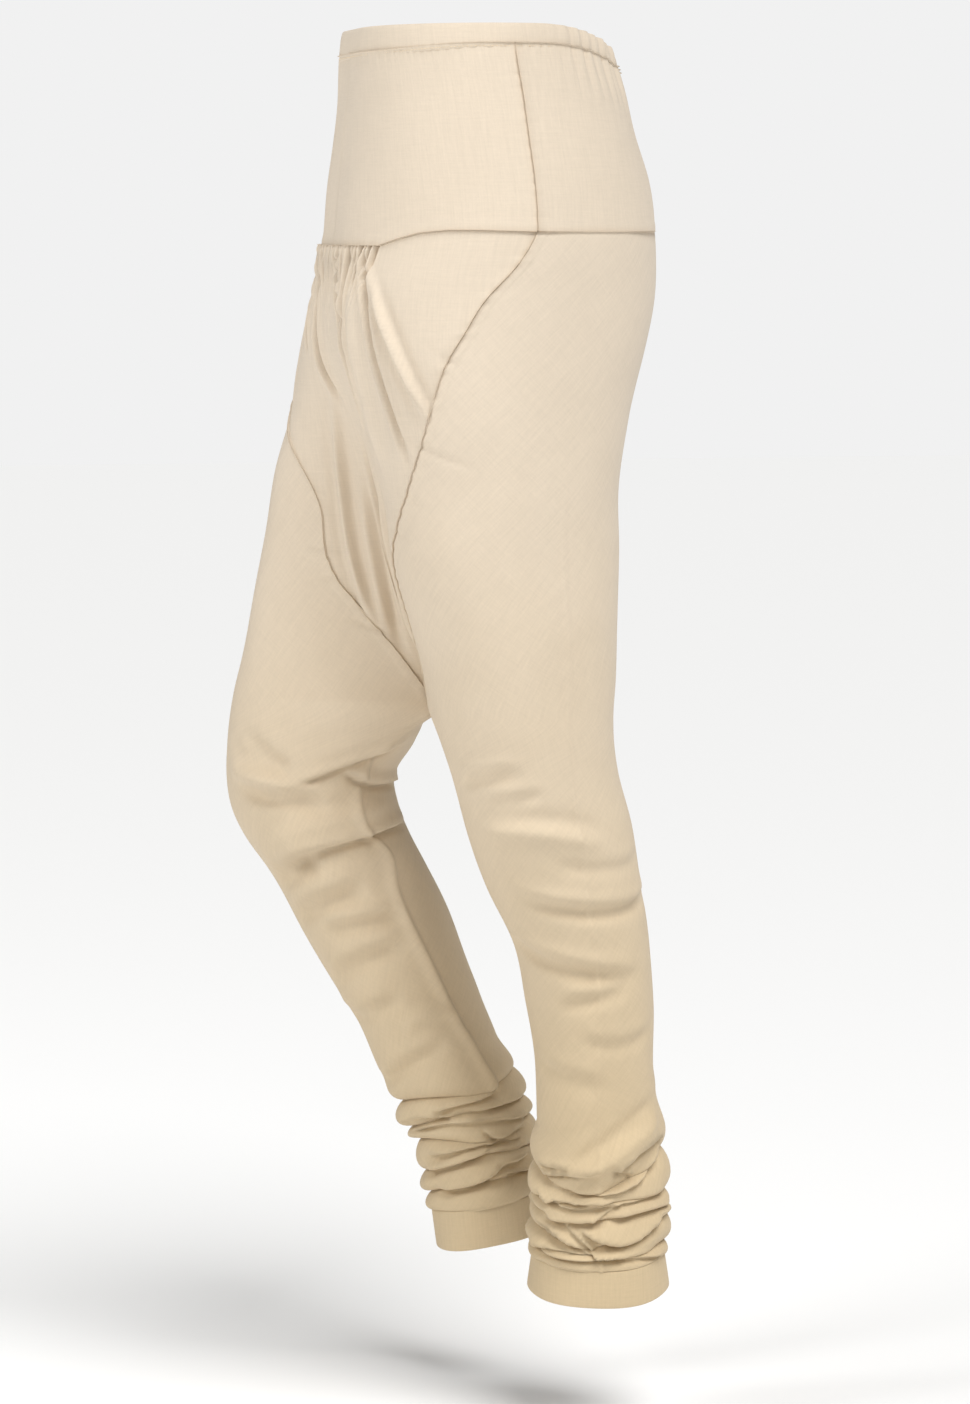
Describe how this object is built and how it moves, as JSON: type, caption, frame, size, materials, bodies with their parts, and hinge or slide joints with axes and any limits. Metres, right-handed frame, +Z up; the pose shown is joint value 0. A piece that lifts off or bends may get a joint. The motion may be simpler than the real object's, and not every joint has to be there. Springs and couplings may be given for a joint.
{
  "type": "churidar trousers",
  "caption": "Cream cotton churidar trousers, hollow as worn in mid-step: elastic waist, plain yoke, gathered front gusset, tapered legs with stacked ankle folds and cuffs.",
  "frame": {"origin": "centre of the waist opening, level with the waist edge at the front and sides", "axes": "+Z up out of the waist opening, -Y toward the front, +X toward the wearer's left"},
  "size_m": [0.3442, 0.3098, 0.9406],
  "materials": {
    "cream_cotton": "matt plain cotton",
    "cream_cotton_cuff": "matt plain cotton"
  },
  "bodies": {
    "root": {"waistband": "cream_cotton", "yoke_front": "cream_cotton", "yoke_back": "cream_cotton", "gusset_front": "cream_cotton", "leg_left": "cream_cotton", "leg_right": "cream_cotton", "cuff_left": "cream_cotton_cuff", "cuff_right": "cream_cotton_cuff"}
  },
  "joints": []
}
